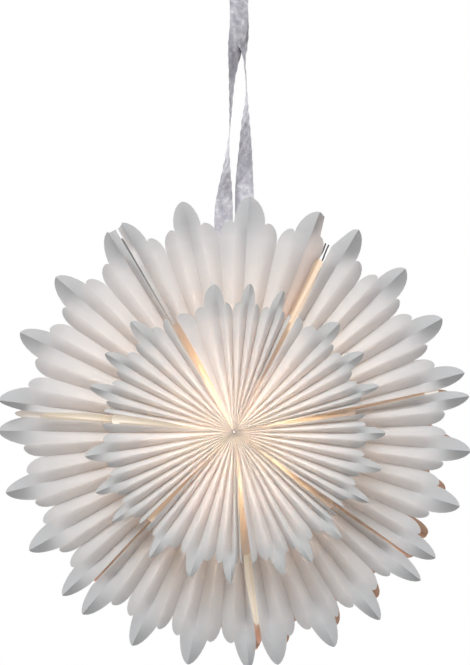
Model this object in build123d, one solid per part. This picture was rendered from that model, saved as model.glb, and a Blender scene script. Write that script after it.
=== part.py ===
from build123d import *
import math
import os

# Pleated paper star for hanging, 600 mm across, lit from inside by a small bulb.
# Millimetres. +Z is up, the front faces -Y. The origin is the point that the ribbon hangs from.

os.makedirs("parts", exist_ok=True)

# ---- where the star hangs ----
STAR_X = -6.0
STAR_Z = -575.0

# ---- the seven glued sections, as degrees counter-clockwise from +X, seen from the front ----
SEAMS = [11.6, 63.5, 120.2, 175.6, 226.9, 277.2, 324.7]
SEAM_GAP = 1.0
CLOSING_GAP = 2.6
CLOSING_NOTCH = 253.0
CLOSING_SEAM = 1
TIP_PITCH = 4
FACETS = 14
EDGE_STEPS = 6

# ---- where the cut tips point: the folds are not quite evenly spread by hand ----
OUTER_TIPS = [
    [14.3, 28.6, 43.5, 58.1],
    [68.9, 86.1, 102.7, 118.2],
    [122.5, 139.1, 155.3, 172.0],
    [179.2, 194.7, 209.5, 223.6],
    [230.2, 244.5, 258.6, 273.6],
    [280.9, 295.2, 307.6, 321.8],
    [327.7, 341.5, 355.3, 369.0],
]
INNER_TIPS = [
    [17.5, 31.2, 46.1],
    [71.1, 84.1, 97.5],
    [133.0, 148.4, 162.6],
    [189.3, 203.9, 216.4],
    [236.0, 253.0, 268.8],
    [289.5, 300.9, 315.3],
    [332.2, 345.5, 359.6],
]

# ---- outline of one cut tip: tip, shoulder where the lobes meet, side lobe, notch ----
OUTER_TIP = 300.0
OUTER_SHOULDER = 269.0
OUTER_LOBE = 273.0
OUTER_NOTCH = 245.0
INNER_TIP = 187.0
INNER_SHOULDER = 160.0
INNER_LOBE = 164.0
INNER_NOTCH = 150.0
SHOULDER_AT = 0.25
LOBE_AT = 0.30
OUTER_FIRST_TIP = 1
INNER_FIRST_TIP = 3

# ---- how the paper stands in depth: ridge plane at the centre, its slope, and the pleat's depth per radius ----
PAPER = 0.8
OUTER_RIDGE = -54.0
OUTER_SLOPE = 0.03
OUTER_PLEAT = 0.05
INNER_RIDGE = -100.0
INNER_SLOPE = 0.0
INNER_PLEAT = 0.085
OUTER_HOLE = 62.0
INNER_FRONT_HOLE = 6.0
INNER_BACK_HOLE = 24.0

# ---- seam walls ----
WALL = 0.4
WALL_START = 72.0
WALL_STEP = 144.0
WALL_END = 249.0
WALL_HIGH = 99.0
WALL_LOW = 46.0

# ---- ribbon, card that holds it, and the tie that closes the ring ----
RIBBON_WIDE = 25.0
RIBBON_THICK = 0.5
RIBBON_LOOP = 2.5
RIBBON_FOOT = -370.0
LEFT_FOOT_X = -19.5
RIGHT_FOOT_X = 7.0
RIBBON_FOOT_Y = 4.0
CARD_WIDE = 60.0
CARD_HALF_DEEP = 36.7
CARD_TOP = -371.6
CARD_THICK = 1.2
CARD_TAB = 24.0
CARD_ARM = 6.0
TIE_RADIUS = 1.0
TIE_AT = 246.5
TIE_LONG = 27.0

# ---- lamp holder and bulb, on the star's own axis ----
COLLAR_OUTER = 42.0
COLLAR_INNER = 15.4
COLLAR_FROM = 100.0
COLLAR_THICK = 1.2
HOLDER_OUTER = 15.0
HOLDER_INNER = 12.6
HOLDER_FRONT = 44.0
HOLDER_BACK = 118.0
FLANGE_OUTER = 20.5
FLANGE_THICK = 2.4
RING_OUTER = 28.0
RING_INNER = 15.3
RING_FROM = 90.4
RING_THICK = 6.0
CAP_BACK = 136.0
CORD_BORE = 3.5
CORD_NECK = 6.5
CORD_NECK_BACK = 144.0
SOCKET_OUTER = 10.4
SOCKET_INNER = 7.6
SOCKET_FRONT = 52.0
SOCKET_BACK = 84.0
CONTACT_RADIUS = 2.4
BULB_CAP_RADIUS = 6.9
BULB_CAP_FRONT = 50.0
BULB_CAP_BACK = 76.0
GLASS_RADIUS = 22.5
GLASS_CENTRE = 12.0
GLASS_NECK = 6.4
GLASS_WALL = 0.8


def along(angle, radius, y=0.0):
    """A point of the star at an angle and radius, in the part's frame."""
    a = math.radians(angle)
    return (STAR_X + radius * math.cos(a), y, STAR_Z + radius * math.sin(a))


def section_edges(k):
    """The angles where section k starts and ends, leaving half of each seam's gap."""
    start_gap = CLOSING_GAP if k == CLOSING_SEAM else SEAM_GAP
    end_gap = CLOSING_GAP if (k + 1) % 7 == CLOSING_SEAM else SEAM_GAP
    start = SEAMS[k]
    end = SEAMS[(k + 1) % 7]
    if end < start:
        end += 360.0
    return start + start_gap / 2, end - end_gap / 2


def outline_radius(turn, sizes):
    """The cut edge's radius at a place between tips, as a share of the tips' pitch."""
    tip, shoulder, lobe, notch = sizes
    t = abs(turn - round(turn))
    if t < SHOULDER_AT:
        return shoulder + (tip - shoulder) * (1 - (t / SHOULDER_AT) ** 2) ** 0.6
    if t < LOBE_AT:
        rise = (t - SHOULDER_AT) / (LOBE_AT - SHOULDER_AT)
        return shoulder + (lobe - shoulder) * math.sin(rise * math.pi / 2)
    fall = (t - LOBE_AT) / (0.5 - LOBE_AT)
    return notch + (lobe - notch) * math.sqrt(1 - fall ** 2)


def closing_rim(angle):
    """The notch cut where the ring of sections is tied shut."""
    past = angle - SEAMS[CLOSING_SEAM]
    rise = 5.5 if past > 0 else 9.0
    return CLOSING_NOTCH + rise * (abs(past) - CLOSING_GAP / 2)


def face(points):
    return Face(Wire.make_polygon(points, close=True))


def fold_angles(start, end, tips, first_tip):
    """The angles of a section's folds: tips where they are listed, the others evenly between them."""
    marks = [(0, start)]
    for j, tip in enumerate(tips):
        marks.append((first_tip + TIP_PITCH * j, tip))
    marks.append((FACETS, end))
    folds = []
    for (i, low), (j, high) in zip(marks, marks[1:]):
        for m in range(i, j):
            folds.append(low + (high - low) * (m - i) / (j - i))
    return folds + [end]


def sheet(k, outer, back):
    """One section's folded sheet of the large or the small star, front or back."""
    start, end = section_edges(k)
    if outer:
        sizes = (OUTER_TIP, OUTER_SHOULDER, OUTER_LOBE, OUTER_NOTCH)
        hole = OUTER_HOLE
        first_tip = OUTER_FIRST_TIP
        folds = fold_angles(start, end, OUTER_TIPS[k], first_tip)
        apex, slope, pleat = OUTER_RIDGE, OUTER_SLOPE, OUTER_PLEAT
    else:
        sizes = (INNER_TIP, INNER_SHOULDER, INNER_LOBE, INNER_NOTCH)
        hole = INNER_BACK_HOLE if back else INNER_FRONT_HOLE
        first_tip = INNER_FIRST_TIP
        folds = fold_angles(start, end, INNER_TIPS[k], first_tip)
        apex, slope, pleat = INNER_RIDGE, INNER_SLOPE, INNER_PLEAT
    flip = -1 if back else 1
    faces = []
    for i in range(FACETS):
        first = folds[i]
        wide = folds[i + 1] - first
        left = slope + (pleat if i % 2 else 0.0)
        right = slope + (0.0 if i % 2 else pleat)
        edge = []
        for j in range(EDGE_STEPS + 1):
            share = (1 - math.cos(math.pi * j / EDGE_STEPS)) / 2
            turn = (i + share - first_tip) / TIP_PITCH
            angle = first + wide * share
            edge.append((angle, min(outline_radius(turn, sizes), closing_rim(angle))))
        ring = [(first, hole)] + edge + [(first + wide, hole)]
        upper = []
        lower = []
        for angle, radius in ring:
            a = math.sin(math.radians(first + wide - angle))
            b = math.sin(math.radians(angle - first))
            y = apex + radius * (left * a + right * b) / math.sin(math.radians(wide))
            upper.append(along(angle, radius, flip * y))
            lower.append(along(angle, radius, flip * (y + PAPER)))
        faces.append(face(upper))
        faces.append(face(lower[::-1]))
        n = len(ring)
        first_side = 0 if i == 0 else 1
        last_side = n - 1 if i == FACETS - 1 else n - 2
        for m in range(n):
            inner_rim = m == n - 1
            if inner_rim or first_side <= m < last_side:
                q = (m + 1) % n
                faces.append(face([upper[m], lower[m], lower[q], upper[q]]))
    return Solid(Shell(faces))


def wall(angle, side):
    """A flat wall from the front sheets to the back sheets along a section's edge."""
    profile = [
        (WALL_START, -WALL_HIGH),
        (WALL_STEP, -WALL_HIGH),
        (WALL_STEP, -WALL_LOW),
        (WALL_END, -WALL_LOW),
        (WALL_END, WALL_LOW),
        (WALL_STEP, WALL_LOW),
        (WALL_STEP, WALL_HIGH),
        (WALL_START, WALL_HIGH),
    ]
    points = [along(angle, r, y) for r, y in profile]
    a = math.radians(angle)
    direction = (-math.sin(a) * side, 0, math.cos(a) * side)
    return extrude(face(points), amount=WALL, dir=direction)


def turned(radius, y_from, y_to):
    """A round bar on the star's axis, from one depth to another."""
    plane = Plane(origin=(STAR_X, y_from, STAR_Z), x_dir=(1, 0, 0), z_dir=(0, 1, 0))
    return extrude(plane * Circle(radius), amount=y_to - y_from)


def tube(outer, inner, y_from, y_to):
    return turned(outer, y_from, y_to) - turned(inner, y_from - 1, y_to + 1)


def save(shape, node):
    shape.label = node
    export_step(shape, "parts/" + node + ".step")


# ---- the folded sheets: large and small star, front and back, in seven sections ----
for k in range(7):
    start, end = section_edges(k)
    name = "section_" + str(k + 1)
    save(sheet(k, True, False), name + "_outer_front")
    save(sheet(k, True, True), name + "_outer_back")
    save(sheet(k, False, False), name + "_inner_front")
    save(sheet(k, False, True), name + "_inner_back")
    save(wall(end, 1), name + "_seam_wall")

# ---- the ring is opened here, so this seam has a wall on each side ----
start, end = section_edges(CLOSING_SEAM)
save(wall(start, -1), "section_2_closing_wall")


def tie(angle, side):
    """A short twine end held by a knot on its wall."""
    a = math.radians(angle)
    normal = Vector(-math.sin(a) * side, 0, math.cos(a) * side)
    foot = Vector(*along(angle, TIE_AT, 0.0)) + normal * WALL
    knot = Sphere(2.2).moved(Location(foot + normal * 2.2))
    knot = Box(3.4, 3.4, 3.4).moved(Location(foot + normal * 1.72)) & knot
    plane = Plane(origin=foot + normal * 1.6, x_dir=(0, 1, 0), z_dir=(math.cos(a), 0, math.sin(a)))
    cord = extrude(plane * Circle(TIE_RADIUS), amount=TIE_LONG)
    return knot + cord


save(tie(section_edges(0)[1], 1), "closing_tie_first_end")
save(tie(section_edges(1)[0], -1), "closing_tie_second_end")

# ---- card across the top section, that the ribbon is fixed to ----
card = Box(CARD_WIDE, CARD_TAB, CARD_THICK)
for side in (-1, 1):
    arm = Box(CARD_ARM, 2 * CARD_HALF_DEEP, CARD_THICK)
    card += arm.moved(Location((side * (CARD_WIDE - CARD_ARM) / 2, 0, 0)))
save(card.moved(Location((STAR_X, 0, CARD_TOP - CARD_THICK / 2))), "ribbon_card")


def strand(top_y, foot_x, foot_y):
    """One flat length of the ribbon, from its loop down to the card."""
    wires = []
    for x, y, z in ((0.0, top_y, -RIBBON_LOOP), (foot_x, foot_y, RIBBON_FOOT)):
        half = RIBBON_WIDE / 2
        thick = RIBBON_THICK / 2
        corners = [(x - half, y - thick, z), (x + half, y - thick, z), (x + half, y + thick, z), (x - half, y + thick, z)]
        wires.append(Wire.make_polygon(corners, close=True))
    return Solid.make_loft(wires, ruled=True)


loop_plane = Plane(origin=(-RIBBON_WIDE / 2, 0, -RIBBON_LOOP), x_dir=(0, 1, 0), z_dir=(1, 0, 0))
loop_band = extrude(loop_plane * (Circle(RIBBON_LOOP + RIBBON_THICK) - Circle(RIBBON_LOOP)), amount=RIBBON_WIDE)
upper = Box(60, 20, 10).moved(Location((0, 0, -RIBBON_LOOP + 5)))
top_y = RIBBON_LOOP + RIBBON_THICK / 2
ribbon = (loop_band & upper) + strand(-top_y, LEFT_FOOT_X, -RIBBON_FOOT_Y) + strand(top_y, RIGHT_FOOT_X, RIBBON_FOOT_Y)
save(ribbon, "ribbon")

# ---- lamp holder: collar and clamping ring hold the paper between them ----
collar = tube(COLLAR_OUTER, COLLAR_INNER, COLLAR_FROM, COLLAR_FROM + COLLAR_THICK)
save(collar, "back_collar")
flange_from = COLLAR_FROM + COLLAR_THICK
shell = tube(HOLDER_OUTER, HOLDER_INNER, HOLDER_FRONT, HOLDER_BACK)
shell = shell + tube(FLANGE_OUTER, HOLDER_INNER, flange_from, flange_from + FLANGE_THICK)
shell = shell + tube(HOLDER_INNER + 0.2, SOCKET_OUTER, SOCKET_BACK + 6.0, SOCKET_BACK + 8.0)
save(shell, "holder_shell")
ring = tube(RING_OUTER, RING_INNER, RING_FROM, RING_FROM + RING_THICK)
for i in range(24):
    a = math.radians(i * 15.0)
    notch = Location((STAR_X + (RING_OUTER + 0.6) * math.cos(a), RING_FROM + 3, STAR_Z + (RING_OUTER + 0.6) * math.sin(a)))
    ring = ring - Cylinder(1.4, 10, rotation=(90, 0, 0)).moved(notch)
save(ring, "clamping_ring")
cap = turned(HOLDER_OUTER, HOLDER_BACK, CAP_BACK)
cap = fillet(cap.edges().sort_by(Axis.Y)[-1], 6.0)
cap = cap + turned(CORD_NECK, CAP_BACK - 1, CORD_NECK_BACK)
cap = cap - turned(HOLDER_INNER - 0.6, HOLDER_BACK - 1, CAP_BACK - 8.0)
cap = cap - turned(CORD_BORE, HOLDER_BACK - 1, CORD_NECK_BACK + 1)
save(cap, "holder_rear_cap")
insulator = tube(HOLDER_INNER, CONTACT_RADIUS, SOCKET_BACK, SOCKET_BACK + 6.0)
save(insulator, "holder_insulator")
socket = tube(SOCKET_OUTER - 2.0, SOCKET_INNER, SOCKET_FRONT, SOCKET_BACK)
save(socket, "holder_screw_shell")
contact = turned(CONTACT_RADIUS, BULB_CAP_BACK + 2.6, SOCKET_BACK + 5.0)
save(contact, "holder_centre_contact")
bulb_cap = turned(BULB_CAP_RADIUS, BULB_CAP_FRONT, BULB_CAP_BACK)
bulb_cap = bulb_cap - turned(BULB_CAP_RADIUS - 0.5, BULB_CAP_FRONT - 1, BULB_CAP_BACK - 1)
for i in range(5):
    groove = tube(BULB_CAP_RADIUS + 1, BULB_CAP_RADIUS - 0.35, 57.0 + i * 2.8, 58.2 + i * 2.8)
    bulb_cap = bulb_cap - groove
bulb_cap = bulb_cap + turned(2.6, BULB_CAP_BACK - 0.1, BULB_CAP_BACK + 2.0)
save(bulb_cap, "bulb_cap")
outside = Sphere(GLASS_RADIUS).moved(Location((STAR_X, GLASS_CENTRE, STAR_Z))) + turned(GLASS_NECK, GLASS_CENTRE, 56.0)
inside = Sphere(GLASS_RADIUS - GLASS_WALL).moved(Location((STAR_X, GLASS_CENTRE, STAR_Z)))
inside = inside + turned(GLASS_NECK - GLASS_WALL, GLASS_CENTRE, 57.0)
save(outside - inside, "bulb_glass")
stem = turned(2.2, 20.0, 56.0) + tube(GLASS_NECK - GLASS_WALL - 0.05, 1.5, 53.0, 56.0)
save(stem, "bulb_stem")
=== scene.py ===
import bpy
import math
import random
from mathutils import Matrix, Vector


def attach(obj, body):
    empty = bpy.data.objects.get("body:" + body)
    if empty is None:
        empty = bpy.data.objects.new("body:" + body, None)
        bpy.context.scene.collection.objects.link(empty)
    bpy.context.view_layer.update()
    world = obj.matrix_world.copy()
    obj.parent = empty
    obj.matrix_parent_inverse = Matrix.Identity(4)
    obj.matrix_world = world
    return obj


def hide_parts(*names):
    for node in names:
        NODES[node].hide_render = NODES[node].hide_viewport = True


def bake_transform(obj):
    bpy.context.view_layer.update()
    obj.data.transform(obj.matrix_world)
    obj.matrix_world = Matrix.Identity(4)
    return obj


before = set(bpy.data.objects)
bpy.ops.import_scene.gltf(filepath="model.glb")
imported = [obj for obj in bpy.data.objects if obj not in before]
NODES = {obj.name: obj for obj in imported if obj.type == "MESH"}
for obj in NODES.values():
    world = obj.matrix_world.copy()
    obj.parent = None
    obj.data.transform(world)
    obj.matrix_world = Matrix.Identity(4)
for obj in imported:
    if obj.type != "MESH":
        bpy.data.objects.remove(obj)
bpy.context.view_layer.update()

# The star's axis runs along Y through this point; the front faces -Y. All lengths are metres.
STAR_X = -0.006
STAR_Z = -0.575

# ---------------------------------------------------------------- the folded sheets
# Angles are degrees counter-clockwise from the viewer's right. Section k lies between seam k and the next one.
SEAMS = [11.6, 63.5, 120.2, 175.6, 226.9, 277.2, 324.7]
# the seam where the ring of sections is tied shut
CLOSING_SEAM = 1
# the seams' widths in degrees near the axis, and further out at the tied one
LEAST_GAP = 0.32
CLOSING_GAP = 0.8
# how far out the outer glued strips reach, and where the lamp's light no longer reaches them, so that the painted
# lamplight of their ends changes there
STRIP_ENDS = [0.267, 0.247, 0.288, 0.283, 0.262, 0.274, 0.274]
STRIP_LIT_TO = 0.246
# the seams whose glued strips end pale at the rim with a painted glow, and the one whose outer strip is darkened into a
# line of painted shade
GLOW_PAINTED_ENDS = (0, 3)
SHADE_PAINTED_SEAM = 2
# the facets, as section and facet, on the two sides of a seam where a petal is cut straight
CUT_PETALS = ((1, 13), (2, 0))
# how sharp the outer tips are in each section, from round to pointed
SHARPNESS = [0.62, 0.60, 0.80, 0.90, 0.90, 0.88, 0.70]
# The rim at the tied seam: the notch's radius, how wide its flat side is and how the rim rises for each degree past
# that, and how wide and high the short lobe on the other side is. Widths are in degrees.
CLOSING_NOTCH = 0.253
CLOSING_FLAT = 0.8
CLOSING_RISE = 0.0135
CLOSING_LOBE = 3.4
CLOSING_LOBE_HIGH = 0.021
# where in the first facet the extra crease of the tied edge lies
CLOSING_CREASE = 0.63
FACETS = 14
# how many folds lie between one tip and the next
TIP_PITCH = 4
# the large and the small star's tips in each section
OUTER_TIPS = [
    [14.3, 28.6, 43.5, 58.1],
    [68.9, 86.1, 103.1, 118.2],
    [122.5, 139.1, 155.3, 172.0],
    [179.9, 195.2, 209.9, 223.6],
    [230.2, 244.5, 258.6, 273.6],
    [280.9, 295.2, 307.6, 321.8],
    [327.7, 341.5, 355.3, 369.0],
]
INNER_TIPS = [
    [17.5, 31.2, 46.1],
    [71.1, 84.1, 97.5],
    [133.0, 148.4, 162.6],
    [189.3, 203.9, 216.4],
    [236.0, 253.0, 268.8],
    [289.5, 300.9, 315.3],
    [332.2, 345.5, 359.6],
]
# how far the back sheets' rims lean counter-clockwise at each seam, in degrees
BACK_LEAN = [0.9, 0.0, 0.0, 0.2, 0.4, 1.6, 4.3]

# The two tiers. "first" is the fold at the first tip; tip, shoulder, lobe, notch and hole are radii; the ridges lie
# at "ridge" in depth and rise by "slope" outwards; a pleat's strip of paper is "strip" wide and never folds flatter
# than "least"; "round" is how round the folds are; "forward" says how far a tip's own crease turns forward. In degrees:
# "gap" is the seams' width, "bare" is how wide the glued strip shows in front at each seam, and "back_flap" how far the
# flap at the back reaches. The lamp shines through the strips at the seams "lit" and "glowing".
OUTER = {"first": 1, "tip": 0.300, "shoulder": 0.2675, "lobe": 0.2705, "notch": 0.245, "hole": 0.062,
         "ridge": -0.054, "slope": 0.03, "strip": 0.0228, "least": 0.009, "round": 1.55, "forward": 2.6, "gap": 0.4,
         "bare": [0.8, 1.9, 0.2, 2.9, 0.4, 2.7, 0.8], "lit": (3, 5), "glowing": (1,), "back_flap": 0.55}
INNER = {"first": 3, "tip": 0.187, "shoulder": 0.160, "lobe": 0.164, "notch": 0.150, "hole": 0.0001,
         "ridge": -0.100, "slope": 0.0, "strip": 0.0162, "least": 0.0055, "round": 1.75, "forward": 2.0, "gap": 0.9,
         "bare": [3.0, 1.8, 5.0, 3.8, 2.0, 3.4, 3.0], "lit": (3,), "glowing": (1, 4), "back_flap": 0.9}
# the hole round the lamp holder in the small sheets at the back
BACK_HOLE = 0.024
# the outline between two tips, in parts of their distance: the tip ends at the first, the lobe is highest at the second
SHOULDER_AT = 0.25
LOBE_AT = 0.30
# a fold is no deeper than this much, plus this much for each metre from the axis
LEAST_DEPTH = 0.0021
DEPTH_RISE = 0.31
# where a tip's crease starts to come forward, as a part of the shoulder's radius
BEND_FROM = 0.88
# where the rim starts to curl, as a part of the notch's radius, and how far it curls at the tips
CURL_FROM = 0.86
CURL_DEEP = 0.004
# how much shorter a cut petal's end is at its fold than at the seam
CUT_SLANT = 0.002
# where the back rim's lean starts, and over how much radius it grows to its whole
LEAN_FROM = 0.12
LEAN_OVER = 0.18
# the large sheets' rim at the back, as a part of the front one's; how much shorter the small star's tips are in
# section 2; how far inside the large back sheets lies their second face, which carries painted lamplight
BACK_RIM = 0.985
SHORTER_TIPS = 0.0025
LAMPLIT_FACE_INSIDE = 0.0004
# The glue flaps: how far out they reach at the back at most; how many degrees they overlap their own sheet, reach under
# the next one's, and reach under it at the tied seam; how far behind the ridges they start, and how much deeper they
# end; and how hollow the wide ones are
BACK_FLAP_RIM = 0.262
FLAP_OVERLAP = 0.3
FLAP_UNDER = 0.5
CLOSING_FLAP_UNDER = 1.3
FLAP_BEHIND = 0.0016
FLAP_DEEPER = 0.0050
FLAP_HOLLOW = 0.0022
# mesh steps across a facet, across a flap and from the hole to the rim, and the points in one column of a sheet
ACROSS = 8
FLAP_ACROSS = 4
RINGS = 44
STEP = RINGS + 1


def section_edges(k):
    """The angles in degrees at which section k starts and ends, counter-clockwise."""
    start, end = SEAMS[k], SEAMS[(k + 1) % 7]
    if end < start:
        end += 360.0
    return start, end


def fold_angles(start, end, tips, first):
    """The angles of all folds: the tips' folds lie at the given angles and the others evenly between them."""
    marks = [(0, start)] + [(first + TIP_PITCH * j, t) for j, t in enumerate(tips)] + [(FACETS, end)]
    folds = []
    for (i, low), (j, high) in zip(marks, marks[1:]):
        folds += [low + (high - low) * (m - i) / (j - i) for m in range(i, j)]
    return folds + [end]


def outline(turn, s, sharp):
    """The front rim's radius: tips at whole turns, a round lobe on each side, and a notch midway between two tips."""
    t = abs(turn - round(turn))
    if t < SHOULDER_AT:
        return s["shoulder"] + (s["tip"] - s["shoulder"]) * (1 - (t / SHOULDER_AT) ** 2) ** sharp
    if t < LOBE_AT:
        rise = (t - SHOULDER_AT) / (LOBE_AT - SHOULDER_AT)
        return s["shoulder"] + (s["lobe"] - s["shoulder"]) * math.sin(rise * math.pi / 2)
    fall = (t - LOBE_AT) / (0.5 - LOBE_AT)
    return s["notch"] + (s["lobe"] - s["notch"]) * math.sqrt(1 - fall ** 2)


def closing_rim(angle):
    """The notch cut where the ring of sections is tied shut, and the short lobe beside it."""
    past = angle - SEAMS[CLOSING_SEAM]
    if past < 0:
        return CLOSING_NOTCH + CLOSING_RISE * max(-past - CLOSING_FLAT, 0.0)
    if past > CLOSING_LOBE:
        return math.inf
    return CLOSING_NOTCH + CLOSING_LOBE_HIGH * math.sqrt(1 - (1 - past / CLOSING_LOBE) ** 2)


def smooth(x):
    """A step from 0 to 1 that starts and ends gently."""
    x = min(max(x, 0.0), 1.0)
    return x * x * (3 - 2 * x)


def lean_at(angle):
    """The back rim's lean at an angle, from the seams on each side of it."""
    for k in range(7):
        low, high = SEAMS[k], SEAMS[(k + 1) % 7]
        if high < low:
            high += 360.0
        for a in (angle, angle + 360.0, angle - 360.0):
            if low <= a <= high:
                t = (a - low) / (high - low)
                return BACK_LEAN[k] * (1 - t) + BACK_LEAN[(k + 1) % 7] * t
    return 0.0


def bare_strip(k, s, r):
    """How wide, in degrees, the glued strip past the end of section k shows at radius r. The large star's strips and
    the one at the seam with the painted shade narrow towards the rim, and the small star's others narrow towards the
    axis."""
    seam = (k + 1) % 7
    bare = s["bare"][seam]
    if s is OUTER:
        return bare * (1 - 0.6 * smooth((r - 0.17) / 0.09))
    if seam == SHADE_PAINTED_SEAM:
        return bare * (1 - 0.45 * smooth((r - 0.06) / 0.10))
    return bare * (1 - 0.7 * (1 - smooth((r - 0.02) / 0.08)))


def smooth_object(name, verts, faces, slots):
    mesh = bpy.data.meshes.new(name)
    mesh.from_pydata(verts, [], faces)
    mesh.polygons.foreach_set("use_smooth", [True] * len(faces))
    mesh.polygons.foreach_set("material_index", slots)
    obj = bpy.data.objects.new(name, mesh)
    bpy.context.scene.collection.objects.link(obj)
    return obj


def sheet(k, s, tips, back, name, seed):
    """One section's folded sheet: strips of even width between creases, so that the pleats open outwards."""
    rnd = random.Random(seed)
    start, end = section_edges(k)
    bare = 0.0 if back else s["bare"][(k + 1) % 7]
    end -= bare
    start_gap = CLOSING_GAP if k == CLOSING_SEAM else s["gap"]
    end_gap = CLOSING_GAP if (k + 1) % 7 == CLOSING_SEAM else s["gap"]
    folds = fold_angles(start, end, tips, s["first"])
    hole = BACK_HOLE if back and s is INNER else s["hole"]
    # small differences from fold to fold, as in paper that was folded by hand: ridges and valleys in depth, how far the
    # rim curls, and how many degrees a fold sways
    ridge_off = [rnd.uniform(-0.0012, 0.0012) for _ in folds]
    valley_off = [rnd.uniform(-0.0015, 0.0015) for _ in folds]
    curl = [rnd.uniform(-0.5, 1.0) for _ in folds]
    sway = [rnd.uniform(-0.35, 0.35) for _ in folds]
    sway[0] = sway[-1] = 0.0
    flip = -1 if back else 1

    def fold_y(i, r):
        wide = []
        if i > 0:
            wide.append(folds[i] - folds[i - 1])
        if i < FACETS:
            wide.append(folds[i + 1] - folds[i])
        chord = r * math.radians(sum(wide) / len(wide))
        deep = max(math.sqrt(max(s["strip"] ** 2 - chord ** 2, 0.0)), s["least"])
        deep = min(deep, LEAST_DEPTH + DEPTH_RISE * r)
        if i % TIP_PITCH == s["first"] % TIP_PITCH:
            # beyond the shoulders a tip's own crease comes forward: the tip bends back on both sides of it
            bend = BEND_FROM * s["shoulder"]
            deep *= 1 - s["forward"] * smooth((r - bend) / (s["tip"] - bend))
        y = s["ridge"] + s["slope"] * r
        reach = smooth((r - hole) / (s["tip"] - hole))
        if i % 2:
            y += deep + valley_off[i] * reach
        else:
            y += ridge_off[i] * reach
        curl_from = CURL_FROM * s["notch"]
        over = max(r - curl_from, 0.0) / (s["tip"] - curl_from)
        return y + CURL_DEEP * curl[i] * over ** 2

    verts, faces = [], []
    columns = FACETS * ACROSS
    for c in range(columns + 1):
        i = min(c // ACROSS, FACETS - 1)
        t = (1 - math.cos(math.pi * (c - i * ACROSS) / ACROSS)) / 2
        u = i + t
        inward = t if i % 2 == 0 else 1 - t
        if k == CLOSING_SEAM and s is OUTER and i == 0:
            # the tied edge is turned in, with one crease more
            inward = 1 - t / CLOSING_CREASE if t < CLOSING_CREASE else (t - CLOSING_CREASE) / (1 - CLOSING_CREASE)
        turn = (u - s["first"]) / TIP_PITCH
        cut = BACK_RIM if back and s is OUTER else 1.0
        ahead = cut * outline(turn, s, SHARPNESS[k])
        if s is OUTER and (k, i) in CUT_PETALS:
            ahead = s["tip"] - CUT_SLANT * inward
        if s is INNER and k == 1:
            ahead -= SHORTER_TIPS
        rim = min(ahead, closing_rim(folds[i] + (folds[i + 1] - folds[i]) * t))
        for q in range(RINGS + 1):
            v = q / RINGS
            r = hole + (rim - hole) * v
            swing = (1 - t) * sway[i] + t * sway[i + 1]
            angle = folds[i] + (folds[i + 1] - folds[i]) * t + swing * smooth(r / s["tip"] * 1.3 - 0.3)
            open_seam = smooth((r - 0.03) / 0.05)
            if i == 0:
                angle += (LEAST_GAP + (start_gap - LEAST_GAP) * open_seam) / 2 * (1 - t)
            if i == FACETS - 1:
                angle -= (LEAST_GAP + (end_gap - LEAST_GAP) * open_seam) / 2 * t
                if not back:
                    angle += (bare - bare_strip(k, s, r)) * t
            if back:
                angle += lean_at(angle) * smooth((r - LEAN_FROM) / LEAN_OVER)
            # the folds towards the viewer are round and the ones away from the viewer are sharp
            steep = s["round"] + 0.2 * (1 - smooth(r / 0.16))
            high, low = fold_y(i, r), fold_y(i + 1, r)
            if i % 2:
                high, low = low, high
            y = high + (low - high) * inward ** steep
            a = math.radians(angle)
            verts.append((STAR_X + r * math.cos(a), flip * y, STAR_Z + r * math.sin(a)))
    for c in range(columns):
        for q in range(RINGS):
            a = c * STEP + q
            quad = (a, a + 1, a + STEP + 1, a + STEP)
            faces.append(quad if back else quad[::-1])
    one_face = len(faces)
    if back and s is OUTER:
        # a second face towards the lamp, which carries painted lamplight
        count = len(verts)
        verts += [(x, y - LAMPLIT_FACE_INSIDE, z) for x, y, z in verts]
        faces += [tuple(v + count for v in f[::-1]) for f in faces[:one_face]]
    slots = [0] * one_face + [1] * (len(faces) - one_face)
    if k == CLOSING_SEAM and s is OUTER and not back:
        # the first facet is folded away from the light where the ring is tied shut and is given painted shade as well,
        # the last is half of a cut petal and is given painted light
        facet = ACROSS * RINGS
        slots = [1] * facet + [0] * (len(faces) - 2 * facet) + [2] * facet
    obj = smooth_object(name, verts, faces, slots)
    sharp = []
    for e in obj.data.edges:
        a, b = e.vertices
        col = a // STEP
        sharp.append(b // STEP == col and col % (columns + 1) % (2 * ACROSS) == ACROSS)
    attr = obj.data.attributes.new("sharp_edge", "BOOLEAN", "EDGE")
    attr.data.foreach_set("value", sharp)
    return obj


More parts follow.
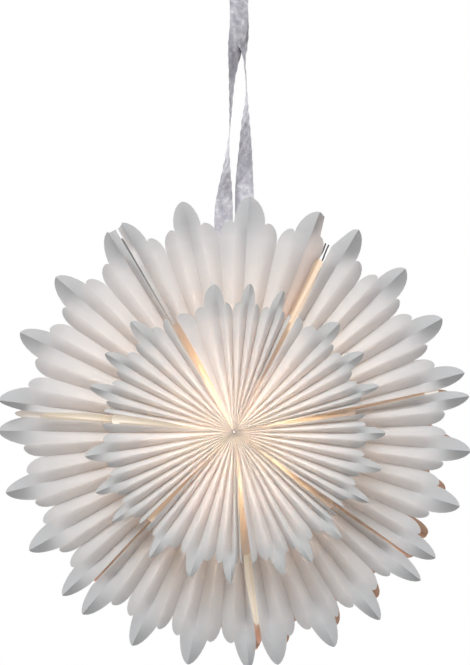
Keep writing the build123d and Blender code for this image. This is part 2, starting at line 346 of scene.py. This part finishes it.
def seam_flap(k, s, back, name):
    """The glue flap behind a seam: it folds back from one section's edge and reaches under the next one's."""
    end = section_edges(k)[1]
    flip = -1 if back else 1
    rim = s["shoulder"] - 0.006 if s is INNER else STRIP_ENDS[(k + 1) % 7]
    hole = s["hole"] + 0.001
    # how far it reaches under the next section, in degrees
    wide = FLAP_UNDER
    if back:
        wide = s["back_flap"]
        rim = min(rim, BACK_FLAP_RIM)
    elif s is OUTER and (k + 1) % 7 == CLOSING_SEAM:
        wide = CLOSING_FLAP_UNDER
    if s is INNER:
        hole = BACK_HOLE + 0.001 if back else 0.0006
    pointed = 0.010 if rim > 0.27 else 0.002
    verts, faces, slots = [], [], []
    for q in range(RINGS + 1):
        for c in range(FLAP_ACROSS + 1):
            t = c / FLAP_ACROSS
            far = rim - pointed * abs(2 * t - 1) ** 2
            r = hole + (far - hole) * q / RINGS
            start = FLAP_OVERLAP if back else FLAP_OVERLAP + bare_strip(k, s, r)
            angle = end - start + (wide + start) * t
            if back:
                angle += lean_at(end) * smooth((r - LEAN_FROM) / LEAN_OVER)
            a = math.radians(angle)
            y = s["ridge"] + s["slope"] * r + (FLAP_BEHIND + FLAP_DEEPER * t) * smooth(r / 0.03)
            if start > 1:
                # a little hollow across, so that the strip catches the light unevenly
                y += FLAP_HOLLOW * math.sin(math.pi * t) * smooth(r / 0.08)
            verts.append((STAR_X + r * math.cos(a), flip * y, STAR_Z + r * math.sin(a)))
    row = FLAP_ACROSS + 1
    for q in range(RINGS):
        for c in range(FLAP_ACROSS):
            a = q * row + c
            quad = (a, a + 1, a + row + 1, a + row)
            faces.append(quad[::-1] if back else quad)
            slots.append(1 if hole + (rim - hole) * q / RINGS > STRIP_LIT_TO else 0)
    return smooth_object(name, verts, faces, slots)


# ---------------------------------------------------------------- materials
def new_material(name):
    m = bpy.data.materials.new(name)
    m.use_nodes = True
    nt = m.node_tree
    nt.nodes.clear()
    out = nt.nodes.new("ShaderNodeOutputMaterial")
    return m, nt, out


def noise(nt, scale, detail, rough, coords):
    n = nt.nodes.new("ShaderNodeTexNoise")
    n.inputs["Scale"].default_value = scale
    n.inputs["Detail"].default_value = detail
    n.inputs["Roughness"].default_value = rough
    nt.links.new(coords, n.inputs["Vector"])
    return n


def ramp(nt, source, stops):
    r = nt.nodes.new("ShaderNodeValToRGB")
    r.color_ramp.elements[0].position, r.color_ramp.elements[0].color = stops[0]
    r.color_ramp.elements[1].position, r.color_ramp.elements[1].color = stops[-1]
    for pos, col in stops[1:-1]:
        e = r.color_ramp.elements.new(pos)
        e.color = col
    nt.links.new(source, r.inputs["Fac"])
    return r


# the distance from the axis at which the papers' tones, painted shade and lamp glow among them, end
TONE_SPAN = 0.32


def by_radius(nt, distance, stops):
    """A colour that changes with the distance from the star's axis."""
    span = nt.nodes.new("ShaderNodeMapRange")
    span.inputs["From Max"].default_value = TONE_SPAN
    nt.links.new(distance, span.inputs["Value"])
    return ramp(nt, span.outputs["Result"], [(r / TONE_SPAN, tuple(c) + (1,)) for r, c in stops])


def paper_material(name, base, through, share):
    """Thin white paper: diffuse in front, light shining through from behind, fine fibres as bump, clouds as tone.
    The two colours are lists of stops, each a distance from the axis and a colour; with them shade and lamp glow are
    painted by radius."""
    m, nt, out = new_material(name)
    tc = nt.nodes.new("ShaderNodeTexCoord")
    fibre = noise(nt, 900.0, 3.0, 0.6, tc.outputs["Object"])
    cloud = noise(nt, 14.0, 3.0, 0.5, tc.outputs["Object"])
    shade = ramp(nt, cloud.outputs["Fac"], [(0.3, (0.955, 0.955, 0.955, 1)), (0.7, (1, 1, 1, 1))])
    flat = nt.nodes.new("ShaderNodeVectorMath")
    flat.operation = "MULTIPLY_ADD"
    flat.inputs[1].default_value = (1, 0, 1)
    flat.inputs[2].default_value = (-STAR_X, 0, -STAR_Z)
    nt.links.new(tc.outputs["Object"], flat.inputs[0])
    length = nt.nodes.new("ShaderNodeVectorMath")
    length.operation = "LENGTH"
    nt.links.new(flat.outputs["Vector"], length.inputs[0])
    tone = nt.nodes.new("ShaderNodeVectorMath")
    tone.operation = "MULTIPLY"
    nt.links.new(by_radius(nt, length.outputs["Value"], base).outputs["Color"], tone.inputs[0])
    nt.links.new(shade.outputs["Color"], tone.inputs[1])
    bump = nt.nodes.new("ShaderNodeBump")
    bump.inputs["Strength"].default_value = 0.12
    bump.inputs["Distance"].default_value = 0.0004
    nt.links.new(fibre.outputs["Fac"], bump.inputs["Height"])
    diff = nt.nodes.new("ShaderNodeBsdfDiffuse")
    diff.inputs["Roughness"].default_value = 0.6
    nt.links.new(tone.outputs["Vector"], diff.inputs["Color"])
    nt.links.new(bump.outputs["Normal"], diff.inputs["Normal"])
    trans = nt.nodes.new("ShaderNodeBsdfTranslucent")
    nt.links.new(by_radius(nt, length.outputs["Value"], through).outputs["Color"], trans.inputs["Color"])
    # the folds bunch together at the middle, where the paper is too thick for the light
    thin = nt.nodes.new("ShaderNodeMapRange")
    thin.inputs["From Min"].default_value = 0.0005
    thin.inputs["From Max"].default_value = 0.005
    thin.inputs["To Min"].default_value = 0.0
    thin.inputs["To Max"].default_value = share
    nt.links.new(length.outputs["Value"], thin.inputs["Value"])
    mix = nt.nodes.new("ShaderNodeMixShader")
    nt.links.new(thin.outputs["Result"], mix.inputs["Fac"])
    nt.links.new(diff.outputs["BSDF"], mix.inputs[1])
    nt.links.new(trans.outputs["BSDF"], mix.inputs[2])
    nt.links.new(mix.outputs["Shader"], out.inputs["Surface"])
    return m


def principled(name, color, rough, metal=0.0, grain=(400.0, 0.05, 0.0003), vary=0.06):
    """A plain material with slow clouds of tone and a bump; the grain is its scale, strength and height."""
    m, nt, out = new_material(name)
    p = nt.nodes.new("ShaderNodeBsdfPrincipled")
    nt.links.new(p.outputs["BSDF"], out.inputs["Surface"])
    tc = nt.nodes.new("ShaderNodeTexCoord")
    n = noise(nt, grain[0], 4.0, 0.6, tc.outputs["Object"])
    slow = noise(nt, 30.0, 3.0, 0.5, tc.outputs["Object"])
    dark = tuple(c * (1 - vary) for c in color)
    tone = ramp(nt, slow.outputs["Fac"], [(0.3, dark + (1,)), (0.7, tuple(color) + (1,))])
    nt.links.new(tone.outputs["Color"], p.inputs["Base Color"])
    bump = nt.nodes.new("ShaderNodeBump")
    bump.inputs["Strength"].default_value = grain[1]
    bump.inputs["Distance"].default_value = grain[2]
    nt.links.new(n.outputs["Fac"], bump.inputs["Height"])
    nt.links.new(bump.outputs["Normal"], p.inputs["Normal"])
    r = nt.nodes.new("ShaderNodeMapRange")
    r.inputs["To Min"].default_value = rough * 0.85
    r.inputs["To Max"].default_value = min(rough * 1.15, 1.0)
    nt.links.new(slow.outputs["Fac"], r.inputs["Value"])
    nt.links.new(r.outputs["Result"], p.inputs["Roughness"])
    p.inputs["Metallic"].default_value = metal
    return m


def add_glow(material, color, strength):
    p = material.node_tree.nodes["Principled BSDF"].inputs
    p["Emission Color"].default_value = color + (1,)
    p["Emission Strength"].default_value = strength


WHITE = (0.83, 0.83, 0.835)
# the small star's paper: its colour darkens towards the tips as painted shade; the light through it is warm near the
# middle as painted lamp glow and dark at the tips as painted shade
INNER_PAPER = paper_material(
    "star_paper_inner",
    [(0.0, WHITE), (0.09, WHITE), (0.13, (0.865, 0.865, 0.86)), (0.165, (0.77, 0.775, 0.77)),
     (0.19, (0.73, 0.735, 0.73))],
    [(0.0, (0.96, 0.86, 0.77)), (0.04, (0.93, 0.84, 0.77)), (0.08, (0.79, 0.74, 0.715)), (0.14, (0.88, 0.82, 0.79)),
     (0.160, (0.45, 0.45, 0.46))], 0.34)
# the large star's paper: its colour darkens towards the rim as painted shade; the light through it is orange under the
# small star as painted lamp glow and dark at the tips as painted shade
PAPER = paper_material(
    "star_paper",
    [(0.0, (0.87, 0.87, 0.87)), (0.20, (0.855, 0.86, 0.86)), (0.255, (0.785, 0.787, 0.79)),
     (0.274, (0.80, 0.80, 0.803)), (0.32, (0.80, 0.80, 0.803))],
    [(0.0, (1.0, 0.66, 0.42)), (0.150, (1.0, 0.66, 0.42)), (0.162, (1.0, 0.92, 0.885)), (0.21, (1.0, 0.94, 0.92)),
     (0.25, (0.88, 0.85, 0.84)), (0.273, (0.42, 0.42, 0.42))], 0.40)
# the last facet of the section before the cut petal, lighter towards the rim and in the light through it as painted
# light, and the first one at the tied seam, brownish and darker towards the rim as painted shade with painted warm
# lamplight through it
CUT_FACET_PAINTED_LIGHT_PAPER = paper_material(
    "star_paper_painted_light_at_cut",
    [(0.0, WHITE), (0.16, (0.86, 0.86, 0.86)), (0.21, (0.95, 0.95, 0.945)), (0.32, (0.97, 0.965, 0.96))],
    [(0.0, (1.0, 0.66, 0.42)), (0.150, (1.0, 0.66, 0.42)), (0.162, (1.0, 0.92, 0.885)), (0.21, (1.0, 0.96, 0.94)),
     (0.32, (1.0, 0.97, 0.96))], 0.44)
SHADED_PAPER = paper_material(
    "star_paper_shaded",
    [(0.0, (0.84, 0.77, 0.72)), (0.16, (0.86, 0.77, 0.71)), (0.22, (0.80, 0.74, 0.71)), (0.32, (0.66, 0.63, 0.62))],
    [(0.0, (1.0, 0.66, 0.42)), (0.16, (1.0, 0.76, 0.58)), (0.25, (0.90, 0.76, 0.68)), (0.28, (0.45, 0.43, 0.42))], 0.44)
# the sheets at the back, outside and towards the lamp; the face towards the lamp is tinted warm, and orange-brown near
# the rim, as painted lamplight
BACK_PAPER = paper_material(
    "star_paper_back", [(0.0, (0.83, 0.825, 0.82)), (0.32, (0.82, 0.815, 0.81))],
    [(0.0, (0.95, 0.86, 0.80)), (0.32, (0.9, 0.84, 0.80))], 0.32)
LAMPLIGHT_PAINTED_PAPER = paper_material(
    "star_paper_painted_lamplight",
    [(0.0, (0.86, 0.82, 0.76)), (0.21, (0.86, 0.80, 0.72)), (0.25, (0.76, 0.46, 0.33)), (0.29, (0.85, 0.58, 0.43))],
    [(0.0, (0.95, 0.80, 0.66)), (0.32, (0.95, 0.75, 0.6))], 0.28)
# the glue flaps: the small sheets', the large sheets' and their outer ends, tinted cream to orange and orange-brown as
# painted lamplight; and the one darkened towards the rim as painted shade
FLAP_PAPER = paper_material(
    "glued_paper", [(0.0, (0.84, 0.80, 0.74)), (0.10, (0.84, 0.76, 0.66)), (0.16, (0.80, 0.73, 0.67))],
    [(0.0, (1.0, 0.87, 0.70)), (0.06, (1.0, 0.84, 0.62)), (0.12, (1.0, 0.78, 0.54)), (0.15, (0.85, 0.70, 0.55))], 0.72)
OUTER_FLAP_PAPER = paper_material(
    "glued_paper_outer", [(0.0, (0.84, 0.74, 0.64)), (0.25, (0.80, 0.62, 0.50))],
    [(0.0, (1.0, 0.86, 0.64)), (0.25, (1.0, 0.72, 0.48))], 0.60)
END_FLAP_PAPER = paper_material(
    "glued_paper_end",
    [(0.0, (0.88, 0.78, 0.66)), (0.246, (0.88, 0.76, 0.62)), (0.257, (0.80, 0.43, 0.28)), (0.268, (0.80, 0.46, 0.32)),
     (0.280, (0.82, 0.70, 0.66))],
    [(0.0, (1.0, 0.62, 0.36)), (0.32, (0.9, 0.6, 0.5))], 0.45)
WALL_PAPER = paper_material(
    "wall_paper", [(0.0, (0.80, 0.79, 0.78)), (0.32, (0.80, 0.79, 0.78))],
    [(0.0, (0.90, 0.80, 0.68)), (0.32, (0.90, 0.80, 0.68))], 0.30)
SHADE_PAINTED_FLAP_PAPER = paper_material(
    "glued_paper_painted_shade",
    [(0.0, (0.82, 0.74, 0.67)), (0.17, (0.78, 0.73, 0.70)), (0.215, (0.66, 0.63, 0.62)), (0.25, (0.42, 0.41, 0.41)),
     (0.32, (0.40, 0.39, 0.39))],
    [(0.0, (1.0, 0.80, 0.62)), (0.18, (0.6, 0.55, 0.50)), (0.22, (0.2, 0.2, 0.2))], 0.30)
# the flaps that the lamp shines through: the lamp's light in them is painted, warm in their colour and as a constant
# glow of their own, and the pale ends at two seams glow the same way
PAPER_GRAIN = (900.0, 0.12, 0.0004)
LIT_FLAP_PAPER = principled("glued_paper_lit", (0.84, 0.78, 0.70), 0.9, grain=PAPER_GRAIN)
add_glow(LIT_FLAP_PAPER, (1.0, 0.80, 0.55), 0.24)
GLOW_PAINTED_END_PAPER = principled("glued_paper_glow_painted_end", (0.86, 0.80, 0.74), 0.9, grain=PAPER_GRAIN)
add_glow(GLOW_PAINTED_END_PAPER, (1.0, 0.80, 0.64), 0.13)
GLOWING_FLAP_PAPER = principled("glued_paper_glow", (0.84, 0.70, 0.56), 0.9, grain=PAPER_GRAIN)
add_glow(GLOWING_FLAP_PAPER, (1.0, 0.55, 0.25), 0.14)
CARD = principled("card", (0.62, 0.58, 0.52), 0.85, grain=(600.0, 0.3, 0.0004))
PLASTIC = principled("white_plastic", (0.78, 0.77, 0.74), 0.32, grain=(900.0, 0.04, 0.0002))
INSULATOR = principled("ceramic", (0.70, 0.67, 0.60), 0.5)
BRASS = principled("brass", (0.72, 0.54, 0.24), 0.28, 1.0)
NICKEL = principled("nickel", (0.62, 0.61, 0.59), 0.25, 1.0)
TWINE = principled("dark_twine", (0.10, 0.09, 0.09), 0.9, grain=(1500.0, 0.6, 0.0004), vary=0.3)


def ribbon_material():
    """Silver satin ribbon: woven cross ribs and crumpling as bump; the crumpled patches' sheen is painted into its
    colour as lighter and darker tone.
    """
    m, nt, out = new_material("silver_ribbon")
    p = nt.nodes.new("ShaderNodeBsdfPrincipled")
    nt.links.new(p.outputs["BSDF"], out.inputs["Surface"])
    tc = nt.nodes.new("ShaderNodeTexCoord")
    crush_and_sheen = noise(nt, 120.0, 6.0, 0.65, tc.outputs["Object"])
    tone = ramp(nt, crush_and_sheen.outputs["Fac"], [
        (0.30, (0.38, 0.36, 0.41, 1)), (0.52, (0.56, 0.54, 0.58, 1)), (0.72, (0.86, 0.85, 0.87, 1))])
    nt.links.new(tone.outputs["Color"], p.inputs["Base Color"])
    wave = nt.nodes.new("ShaderNodeTexWave")
    wave.bands_direction = "Z"
    wave.inputs["Scale"].default_value = 480.0
    wave.inputs["Distortion"].default_value = 1.0
    nt.links.new(tc.outputs["Object"], wave.inputs["Vector"])
    add = nt.nodes.new("ShaderNodeMath")
    add.operation = "ADD"
    nt.links.new(crush_and_sheen.outputs["Fac"], add.inputs[0])
    small = nt.nodes.new("ShaderNodeMath")
    small.operation = "MULTIPLY"
    small.inputs[1].default_value = 0.25
    nt.links.new(wave.outputs["Fac"], small.inputs[0])
    nt.links.new(small.outputs["Value"], add.inputs[1])
    bump = nt.nodes.new("ShaderNodeBump")
    bump.inputs["Strength"].default_value = 0.5
    bump.inputs["Distance"].default_value = 0.0012
    nt.links.new(add.outputs["Value"], bump.inputs["Height"])
    nt.links.new(bump.outputs["Normal"], p.inputs["Normal"])
    p.inputs["Metallic"].default_value = 0.25
    p.inputs["Roughness"].default_value = 0.42
    return m


RIBBON = ribbon_material()

# the lamp: a frosted warm bulb
BULB_POWER = 74.0
BULB = principled("bulb_glow", (0.9, 0.85, 0.75), 0.3, grain=(700.0, 0.1, 0.0002))
add_glow(BULB, (1.0, 0.825, 0.645), BULB_POWER)


def dress(node, material):
    o = NODES[node]
    o.data.materials.clear()
    o.data.materials.append(material)


# ---------------------------------------------------------------- build the paper
for k in range(7):
    body = f"section_{k + 1}"
    seam = (k + 1) % 7
    for tier, s, tips in (("outer", OUTER, OUTER_TIPS), ("inner", INNER, INNER_TIPS)):
        for side in ("front", "back"):
            node = f"{body}_{tier}_{side}"
            seed = 1000 * k + (10 if tier == "outer" else 20) + (1 if side == "back" else 0)
            o = sheet(k, s, tips[k], side == "back", node + "_paper", seed)
            # the sheets' papers paint shade and lamp glow by radius
            o.data.materials.append(BACK_PAPER if side == "back" else INNER_PAPER if s is INNER else PAPER)
            if side == "back" and s is OUTER:
                o.data.materials.append(LAMPLIGHT_PAINTED_PAPER)
            if side == "front" and s is OUTER and k == CLOSING_SEAM:
                o.data.materials.append(SHADED_PAPER)
                o.data.materials.append(CUT_FACET_PAINTED_LIGHT_PAPER)
            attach(o, body)
            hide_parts(node)
            o = seam_flap(k, s, side == "back", node + "_flap")
            # the flaps' colours carry painted lamplight and painted glow, and at one seam painted shade
            strip = FLAP_PAPER if s is INNER else OUTER_FLAP_PAPER
            ending = GLOW_PAINTED_END_PAPER if seam in GLOW_PAINTED_ENDS else END_FLAP_PAPER
            if side == "back" and s is OUTER:
                strip = LAMPLIGHT_PAINTED_PAPER
            elif side == "front" and seam in s["lit"]:
                strip = LIT_FLAP_PAPER
            elif side == "front" and seam in s["glowing"]:
                strip = GLOWING_FLAP_PAPER
            elif side == "front" and s is OUTER and seam == SHADE_PAINTED_SEAM:
                strip = ending = SHADE_PAINTED_FLAP_PAPER
            o.data.materials.append(strip)
            o.data.materials.append(ending)
            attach(o, body)
    dress(f"{body}_seam_wall", WALL_PAPER)
dress("section_2_closing_wall", WALL_PAPER)

# ---------------------------------------------------------------- lamp and card
dress("ribbon_card", CARD)
dress("back_collar", CARD)
for node in ("holder_shell", "holder_rear_cap", "clamping_ring"):
    dress(node, PLASTIC)
dress("holder_insulator", INSULATOR)
dress("holder_screw_shell", BRASS)
dress("holder_centre_contact", BRASS)
dress("bulb_cap", NICKEL)
dress("bulb_glass", BULB)
dress("bulb_stem", INSULATOR)

# ---------------------------------------------------------------- ribbon
RIBBON_WIDE = 0.025
LONG_WAVE = 0.0007
SHORT_WAVE = 0.0004
# mesh steps down each length and across
RIBBON_STEPS = 150
RIBBON_ACROSS = 10
# height, x, depth and turn of the ribbon's width about the vertical, down each length
LEFT = [
    (0.0005, 0.0, 0.0, 4), (-0.012, 0.0, -0.0028, 14), (-0.045, -0.0005, -0.0035, 22),
    (-0.072, -0.0045, -0.0045, 40), (-0.110, -0.0090, -0.0050, 70), (-0.172, -0.0118, -0.0050, 88),
    (-0.221, -0.0158, -0.0045, 108), (-0.259, -0.0185, -0.0045, 138), (-0.288, -0.0200, -0.0050, 163),
    (-0.330, -0.0200, -0.0050, 172), (-0.370, -0.0195, -0.0045, 178),
]
RIGHT = [
    (0.0005, 0.0, 0.0, 4), (-0.012, -0.0002, 0.0028, 16), (-0.045, 0.0020, 0.0040, 30),
    (-0.068, 0.0045, 0.0045, 58), (-0.085, 0.0068, 0.0050, 80), (-0.125, 0.0098, 0.0050, 90),
    (-0.163, 0.0086, 0.0050, 112), (-0.201, 0.0082, 0.0050, 131), (-0.240, 0.0072, 0.0050, 153),
    (-0.269, 0.0072, 0.0050, 170), (-0.320, 0.0072, 0.0050, 176), (-0.370, 0.0070, 0.0045, 180),
]


def spline(points, n):
    """Points on a smooth line through the given ones."""
    out = []
    last = len(points) - 1
    for i in range(n + 1):
        x = i / n * last
        j = min(int(x), last - 1)
        t = x - j
        p0, p1, p2, p3 = (points[min(max(j + d, 0), last)] for d in (-1, 0, 1, 2))
        out.append(tuple(
            0.5 * (2 * b + (c - a) * t
                   + (2 * a - 5 * b + 4 * c - d) * t * t
                   + (3 * b - a - 3 * c + d) * t ** 3)
            for a, b, c, d in zip(p0, p1, p2, p3)))
    return out


def ribbon_mesh():
    left = spline(LEFT, RIBBON_STEPS)
    right = spline(RIGHT, RIBBON_STEPS)
    line = left[::-1][:-1] + right
    verts, faces = [], []
    for z, x, y, turn in line:
        a = math.radians(turn)
        for c in range(RIBBON_ACROSS + 1):
            w = (c / RIBBON_ACROSS - 0.5) * RIBBON_WIDE
            # long waves in the ribbon's middle and short ones all over it
            bow = LONG_WAVE * math.sin(z * 160 + c * 0.4) * (1 - abs(2 * c / RIBBON_ACROSS - 1))
            bow += SHORT_WAVE * math.sin(z * 430 + c)
            verts.append((x + w * math.cos(a) - bow * math.sin(a), y + w * math.sin(a) + bow * math.cos(a), z))
    for n in range(len(line) - 1):
        for c in range(RIBBON_ACROSS):
            a = n * (RIBBON_ACROSS + 1) + c
            faces.append((a, a + 1, a + RIBBON_ACROSS + 2, a + RIBBON_ACROSS + 1))
    return smooth_object("silver_ribbon_loop", verts, faces, [0] * len(faces))


ribbon = ribbon_mesh()
ribbon.data.materials.append(RIBBON)
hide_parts("ribbon")
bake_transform(ribbon)

# ---------------------------------------------------------------- twine ends at the closing seam
# the knot's distance from the axis, and how far to each side of the seam the ends stand, in degrees
TIE_AT = 0.2465
TIE_ASIDE = 1.3
TWINE_THICK = 0.002


def twine(name, node, angle, side, body):
    a = math.radians(angle)
    nx, nz = -math.sin(a) * side, math.cos(a) * side
    ux, uz = math.cos(a), math.sin(a)

    def at(radial, off, y):
        return (STAR_X + ux * radial + nx * off, y, STAR_Z + uz * radial + nz * off)

    route = [at(TIE_AT, 0.0015, 0.0), at(TIE_AT + 0.002, 0.0028, -0.0005), at(TIE_AT + 0.008, 0.0030, -0.001),
             at(TIE_AT + 0.017, 0.0044, 0.0), at(TIE_AT + 0.0275, 0.0040 + 0.001 * side, -0.001)]
    curve = bpy.data.curves.new(name, "CURVE")
    curve.dimensions = "3D"
    sp = curve.splines.new("NURBS")
    sp.points.add(len(route) - 1)
    for p, co in zip(sp.points, route):
        p.co = (*co, 1.0)
    sp.order_u = 3
    sp.use_endpoint_u = True
    curve.bevel_depth = TWINE_THICK / 2
    curve.bevel_resolution = 3
    curve.use_fill_caps = True
    o = bpy.data.objects.new(name, curve)
    bpy.context.scene.collection.objects.link(o)
    o.data.materials.append(TWINE)
    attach(o, body)
    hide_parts(node)


twine("twine_end_first", "closing_tie_first_end", SEAMS[CLOSING_SEAM] - TIE_ASIDE, 1, "section_1")
twine("twine_end_second", "closing_tie_second_end", SEAMS[CLOSING_SEAM] + TIE_ASIDE, -1, "section_2")

# ---------------------------------------------------------------- stage, light, camera
# the background looks plain white, and lights the star with this strength
WORLD_LIGHT = 0.37
world = bpy.data.worlds.new("studio")
bpy.context.scene.world = world
world.use_nodes = True
wn = world.node_tree
wn.nodes.clear()
wo = wn.nodes.new("ShaderNodeOutputWorld")
seen = wn.nodes.new("ShaderNodeBackground")
seen.inputs["Color"].default_value = (1, 1, 1, 1)
seen.inputs["Strength"].default_value = 1.0
lit = wn.nodes.new("ShaderNodeBackground")
lit.inputs["Color"].default_value = (0.96, 0.98, 1.0, 1)
lit.inputs["Strength"].default_value = WORLD_LIGHT
path = wn.nodes.new("ShaderNodeLightPath")
pick = wn.nodes.new("ShaderNodeMixShader")
wn.links.new(path.outputs["Is Camera Ray"], pick.inputs["Fac"])
wn.links.new(lit.outputs["Background"], pick.inputs[1])
wn.links.new(seen.outputs["Background"], pick.inputs[2])
wn.links.new(pick.outputs["Shader"], wo.inputs["Surface"])

bpy.context.scene.view_settings.view_transform = "Standard"
bpy.context.scene.view_settings.look = "None"

FLOOR_REACH = 4.0
FLOOR_Z = -1.7
FLOOR_GLOW = 0.55
corners = [(x * FLOOR_REACH, y * FLOOR_REACH, FLOOR_Z) for x, y in ((-1, -1), (1, -1), (1, 1), (-1, 1))]
floor = smooth_object("floor", corners, [(0, 1, 2, 3)], [0])
FLOOR_PAINT = principled("pale_floor", (0.86, 0.86, 0.86), 0.9, grain=(40.0, 0.02, 0.001))
add_glow(FLOOR_PAINT, (1.0, 1.0, 1.0), FLOOR_GLOW)
floor.data.materials.append(FLOOR_PAINT)
# the floor is seen but throws no light on the star from below
floor.visible_diffuse = False
floor.visible_glossy = False
floor.visible_transmission = False


def area(name, place, aim, size, power, color):
    d = bpy.data.lights.new(name, "AREA")
    d.shape = "RECTANGLE"
    d.size, d.size_y = size
    d.energy = power
    d.color = color
    o = bpy.data.objects.new(name, d)
    o.location = place
    v = [b - a for a, b in zip(place, aim)]
    o.rotation_euler = Vector(v).to_track_quat("-Z", "Y").to_euler()
    bpy.context.scene.collection.objects.link(o)


CENTRE = (STAR_X, 0.0, STAR_Z)
area("key", (-0.7, -2.4, 1.6), CENTRE, (1.2, 1.2), 71.0, (0.965, 0.985, 1.0))
area("fill", (0.7, -2.6, -0.1), CENTRE, (1.6, 1.6), 11.0, (1.0, 1.0, 1.0))
area("back_left", (-1.8, 2.3, 0.4), CENTRE, (1.8, 1.8), 28.0, (0.97, 0.985, 1.0))
area("back_right", (1.9, 2.2, 0.1), CENTRE, (1.8, 1.8), 21.0, (0.97, 0.985, 1.0))

# how far the camera stands from the star's middle plane and beside its axis, and how wide the picture is in the plane
# that lies FRONT nearer to the camera
DISTANCE = 2.0
ASIDE = 0.0008
FRONT = 0.04
PICTURE_WIDE = 0.6025
# how far the picture is shifted up, as a part of its width, so that the ribbon's whole visible length is in it
SHIFT_UP = 0.2117
SENSOR = 36.0
cam = bpy.data.cameras.new("camera")
cam.sensor_fit = "HORIZONTAL"
cam.sensor_width = SENSOR
cam.lens = SENSOR * (DISTANCE - FRONT) / PICTURE_WIDE
cam.shift_y = SHIFT_UP
cam_obj = bpy.data.objects.new("camera", cam)
cam_obj.location = (STAR_X + ASIDE, -DISTANCE, STAR_Z)
cam_obj.rotation_euler = (math.radians(90), 0, 0)
bpy.context.scene.collection.objects.link(cam_obj)
bpy.context.scene.camera = cam_obj
